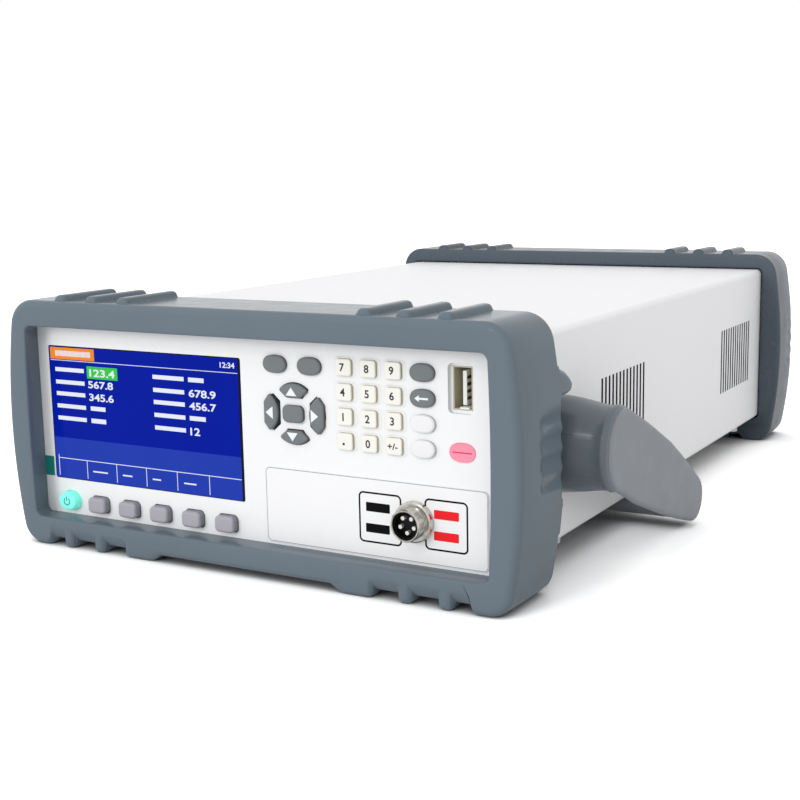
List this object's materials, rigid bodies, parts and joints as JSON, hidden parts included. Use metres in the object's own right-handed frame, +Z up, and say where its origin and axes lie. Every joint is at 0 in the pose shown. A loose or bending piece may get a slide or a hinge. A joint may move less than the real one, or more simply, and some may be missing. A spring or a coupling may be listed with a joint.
{
  "type": "resistance meter",
  "caption": "Bench resistance meter: white metal case between moulded bumpers, folding bail handle, colour screen, keypad and round test socket.",
  "frame": {"origin": "centre of the bounding box in X and Y, on the surface that the feet stand on", "axes": "+X to the right as the user sees the front panel, +Y from the front to the back, +Z up"},
  "size_m": [0.264, 0.361, 0.1055],
  "materials": {
    "bumper": "blue-grey moulded plastic, satin",
    "white_paint": "white powder coat, fine texture",
    "plated_steel": "zinc plated",
    "panel": "white moulded plastic, satin",
    "window": "clear window over a lit blue screen",
    "screen": "black frame and glass",
    "circuit_board": "green solder mask",
    "plate": "light grey, satin",
    "pink_lens": "translucent pink",
    "nickel": "bright nickel",
    "insulator": "black",
    "contact": "silver-plated brass",
    "white_insulator": "off-white",
    "supply_board": "brown laminate",
    "brass": "machined",
    "pivot_metal": "die-cast",
    "handle": "grey moulded plastic, satin",
    "soft_key": "light grey",
    "dark_key": "dark grey",
    "ivory_key": "ivory",
    "clear_key": "translucent white",
    "lit_key": "translucent, lit blue-green"
  },
  "bodies": {
    "instrument": {"front_bumper": "bumper", "rear_bumper": "bumper", "top_cover": "white_paint", "bottom_tray": "plated_steel", "front_panel": "panel", "rear_panel": "white_paint", "display_window": "window", "lcd_module": "screen", "keypad_board": "circuit_board", "terminal_plate": "plate", "result_lamp": "pink_lens", "socket_shell": "nickel", "socket_insert": "insulator", "socket_pins": "contact", "socket_nut": "nickel", "usb_shell": "nickel", "usb_tongue": "white_insulator", "main_board": "circuit_board", "power_supply": "supply_board", "board_screws": "plated_steel", "mains_inlet": "insulator", "serial_port": "nickel", "handler_port": "nickel", "earth_post": "brass", "cover_screws": "plated_steel", "bumper_screws": "plated_steel", "handle_pivots": "pivot_metal"},
    "handle": {"handle_arm_left": "handle", "handle_arm_right": "handle", "handle_grip": "handle"},
    "fuse_drawer": {"fuse_drawer": "insulator"},
    "power_key_body": {"power_key": "lit_key"},
    "soft_key_1_body": {"soft_key_1": "soft_key"},
    "soft_key_2_body": {"soft_key_2": "soft_key"},
    "soft_key_3_body": {"soft_key_3": "soft_key"},
    "soft_key_4_body": {"soft_key_4": "soft_key"},
    "soft_key_5_body": {"soft_key_5": "soft_key"},
    "display_key_body": {"display_key": "dark_key"},
    "setup_key_body": {"setup_key": "dark_key"},
    "up_key_body": {"up_key": "dark_key"},
    "down_key_body": {"down_key": "dark_key"},
    "left_key_body": {"left_key": "dark_key"},
    "right_key_body": {"right_key": "dark_key"},
    "enter_key_body": {"enter_key": "dark_key"},
    "key_7_body": {"key_7": "ivory_key"},
    "key_8_body": {"key_8": "ivory_key"},
    "key_9_body": {"key_9": "ivory_key"},
    "key_4_body": {"key_4": "ivory_key"},
    "key_5_body": {"key_5": "ivory_key"},
    "key_6_body": {"key_6": "ivory_key"},
    "key_1_body": {"key_1": "ivory_key"},
    "key_2_body": {"key_2": "ivory_key"},
    "key_3_body": {"key_3": "ivory_key"},
    "key_point_body": {"key_point": "ivory_key"},
    "key_0_body": {"key_0": "ivory_key"},
    "key_sign_body": {"key_sign": "ivory_key"},
    "escape_key_body": {"escape_key": "dark_key"},
    "back_key_body": {"back_key": "dark_key"},
    "lock_key_body": {"lock_key": "clear_key"},
    "trigger_key_body": {"trigger_key": "clear_key"}
  },
  "joints": [
    {"name": "handle_turn", "type": "hinge", "parent": "instrument", "child": "handle", "pos_m": [0, -0.123, 0.051], "axis": [-1, 0, 0], "range_deg": [0, 300]},
    {"name": "drawer_pull", "type": "slide", "parent": "instrument", "child": "fuse_drawer", "axis": [0, 1, 0], "range_m": [0, 0.014]},
    {"name": "power_press", "type": "slide", "parent": "instrument", "child": "power_key_body", "axis": [0, 1, 0], "range_m": [0, 0.0008], "stiffness_N_per_m": 600},
    {"name": "soft_1_press", "type": "slide", "parent": "instrument", "child": "soft_key_1_body", "axis": [0, 1, 0], "range_m": [0, 0.0008], "stiffness_N_per_m": 600},
    {"name": "soft_2_press", "type": "slide", "parent": "instrument", "child": "soft_key_2_body", "axis": [0, 1, 0], "range_m": [0, 0.0008], "stiffness_N_per_m": 600},
    {"name": "soft_3_press", "type": "slide", "parent": "instrument", "child": "soft_key_3_body", "axis": [0, 1, 0], "range_m": [0, 0.0008], "stiffness_N_per_m": 600},
    {"name": "soft_4_press", "type": "slide", "parent": "instrument", "child": "soft_key_4_body", "axis": [0, 1, 0], "range_m": [0, 0.0008], "stiffness_N_per_m": 600},
    {"name": "soft_5_press", "type": "slide", "parent": "instrument", "child": "soft_key_5_body", "axis": [0, 1, 0], "range_m": [0, 0.0008], "stiffness_N_per_m": 600},
    {"name": "display_press", "type": "slide", "parent": "instrument", "child": "display_key_body", "axis": [0, 1, 0], "range_m": [0, 0.0008], "stiffness_N_per_m": 600},
    {"name": "setup_press", "type": "slide", "parent": "instrument", "child": "setup_key_body", "axis": [0, 1, 0], "range_m": [0, 0.0008], "stiffness_N_per_m": 600},
    {"name": "up_press", "type": "slide", "parent": "instrument", "child": "up_key_body", "axis": [0, 1, 0], "range_m": [0, 0.0008], "stiffness_N_per_m": 600},
    {"name": "down_press", "type": "slide", "parent": "instrument", "child": "down_key_body", "axis": [0, 1, 0], "range_m": [0, 0.0008], "stiffness_N_per_m": 600},
    {"name": "left_press", "type": "slide", "parent": "instrument", "child": "left_key_body", "axis": [0, 1, 0], "range_m": [0, 0.0008], "stiffness_N_per_m": 600},
    {"name": "right_press", "type": "slide", "parent": "instrument", "child": "right_key_body", "axis": [0, 1, 0], "range_m": [0, 0.0008], "stiffness_N_per_m": 600},
    {"name": "enter_press", "type": "slide", "parent": "instrument", "child": "enter_key_body", "axis": [0, 1, 0], "range_m": [0, 0.0008], "stiffness_N_per_m": 600},
    {"name": "digit_7_press", "type": "slide", "parent": "instrument", "child": "key_7_body", "axis": [0, 1, 0], "range_m": [0, 0.0008], "stiffness_N_per_m": 600},
    {"name": "digit_8_press", "type": "slide", "parent": "instrument", "child": "key_8_body", "axis": [0, 1, 0], "range_m": [0, 0.0008], "stiffness_N_per_m": 600},
    {"name": "digit_9_press", "type": "slide", "parent": "instrument", "child": "key_9_body", "axis": [0, 1, 0], "range_m": [0, 0.0008], "stiffness_N_per_m": 600},
    {"name": "digit_4_press", "type": "slide", "parent": "instrument", "child": "key_4_body", "axis": [0, 1, 0], "range_m": [0, 0.0008], "stiffness_N_per_m": 600},
    {"name": "digit_5_press", "type": "slide", "parent": "instrument", "child": "key_5_body", "axis": [0, 1, 0], "range_m": [0, 0.0008], "stiffness_N_per_m": 600},
    {"name": "digit_6_press", "type": "slide", "parent": "instrument", "child": "key_6_body", "axis": [0, 1, 0], "range_m": [0, 0.0008], "stiffness_N_per_m": 600},
    {"name": "digit_1_press", "type": "slide", "parent": "instrument", "child": "key_1_body", "axis": [0, 1, 0], "range_m": [0, 0.0008], "stiffness_N_per_m": 600},
    {"name": "digit_2_press", "type": "slide", "parent": "instrument", "child": "key_2_body", "axis": [0, 1, 0], "range_m": [0, 0.0008], "stiffness_N_per_m": 600},
    {"name": "digit_3_press", "type": "slide", "parent": "instrument", "child": "key_3_body", "axis": [0, 1, 0], "range_m": [0, 0.0008], "stiffness_N_per_m": 600},
    {"name": "digit_point_press", "type": "slide", "parent": "instrument", "child": "key_point_body", "axis": [0, 1, 0], "range_m": [0, 0.0008], "stiffness_N_per_m": 600},
    {"name": "digit_0_press", "type": "slide", "parent": "instrument", "child": "key_0_body", "axis": [0, 1, 0], "range_m": [0, 0.0008], "stiffness_N_per_m": 600},
    {"name": "digit_sign_press", "type": "slide", "parent": "instrument", "child": "key_sign_body", "axis": [0, 1, 0], "range_m": [0, 0.0008], "stiffness_N_per_m": 600},
    {"name": "escape_press", "type": "slide", "parent": "instrument", "child": "escape_key_body", "axis": [0, 1, 0], "range_m": [0, 0.0008], "stiffness_N_per_m": 600},
    {"name": "back_press", "type": "slide", "parent": "instrument", "child": "back_key_body", "axis": [0, 1, 0], "range_m": [0, 0.0008], "stiffness_N_per_m": 600},
    {"name": "lock_press", "type": "slide", "parent": "instrument", "child": "lock_key_body", "axis": [0, 1, 0], "range_m": [0, 0.0008], "stiffness_N_per_m": 600},
    {"name": "trigger_press", "type": "slide", "parent": "instrument", "child": "trigger_key_body", "axis": [0, 1, 0], "range_m": [0, 0.0008], "stiffness_N_per_m": 600}
  ]
}
